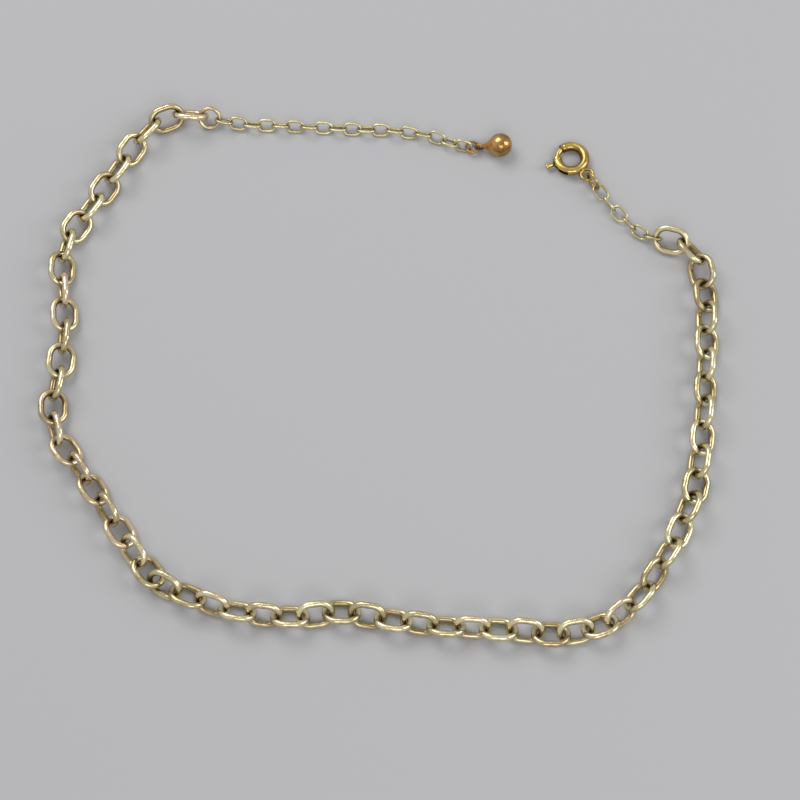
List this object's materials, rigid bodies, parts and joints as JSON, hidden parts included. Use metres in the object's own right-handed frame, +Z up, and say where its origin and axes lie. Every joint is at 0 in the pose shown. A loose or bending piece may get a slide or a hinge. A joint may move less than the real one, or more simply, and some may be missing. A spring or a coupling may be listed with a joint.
{
  "type": "chain anklet",
  "caption": "Open chain anklet of oval gold-coloured links, with a bolt-ring clasp at one end and a fine extender chain with a small teardrop at the other.",
  "frame": {"origin": "centre of the bounding box, on the surface that the anklet lies on", "axes": "+X along the long side of the open loop, +Y towards the clasp and the extender, +Z up from the surface"},
  "size_m": [0.0981, 0.0831, 0.0042],
  "materials": {
    "main_chain": "polished yellow gold plate with fine wear",
    "fine_chain": "polished yellow gold plate with fine wear",
    "clasp": "polished yellow gold plate",
    "drop": "polished gold plate, slightly redder"
  },
  "bodies": {
    "anklet": {"clasp_ring": "clasp", "clasp_jump_ring": "clasp", "short_chain": "fine_chain", "chain_run_01": "main_chain", "chain_run_02": "main_chain", "chain_run_03": "main_chain", "chain_run_04": "main_chain", "chain_run_05": "main_chain", "chain_run_06": "main_chain", "chain_run_07": "main_chain", "chain_run_08": "main_chain", "chain_run_09": "main_chain", "chain_run_10": "main_chain", "extender_jump_ring": "fine_chain", "extender_chain": "fine_chain", "drop_jump_ring": "fine_chain", "end_drop": "drop"},
    "trigger": {"clasp_trigger": "clasp"}
  },
  "joints": [
    {"name": "trigger_hinge", "type": "hinge", "parent": "anklet", "child": "trigger", "pos_m": [0.0281, 0.0332, 0.00082], "axis": [-0.0448, 0.0534, 0.9976], "range_deg": [0, 50], "stiffness_Nm_per_rad": 0.004, "springref_deg": -20.05}
  ]
}
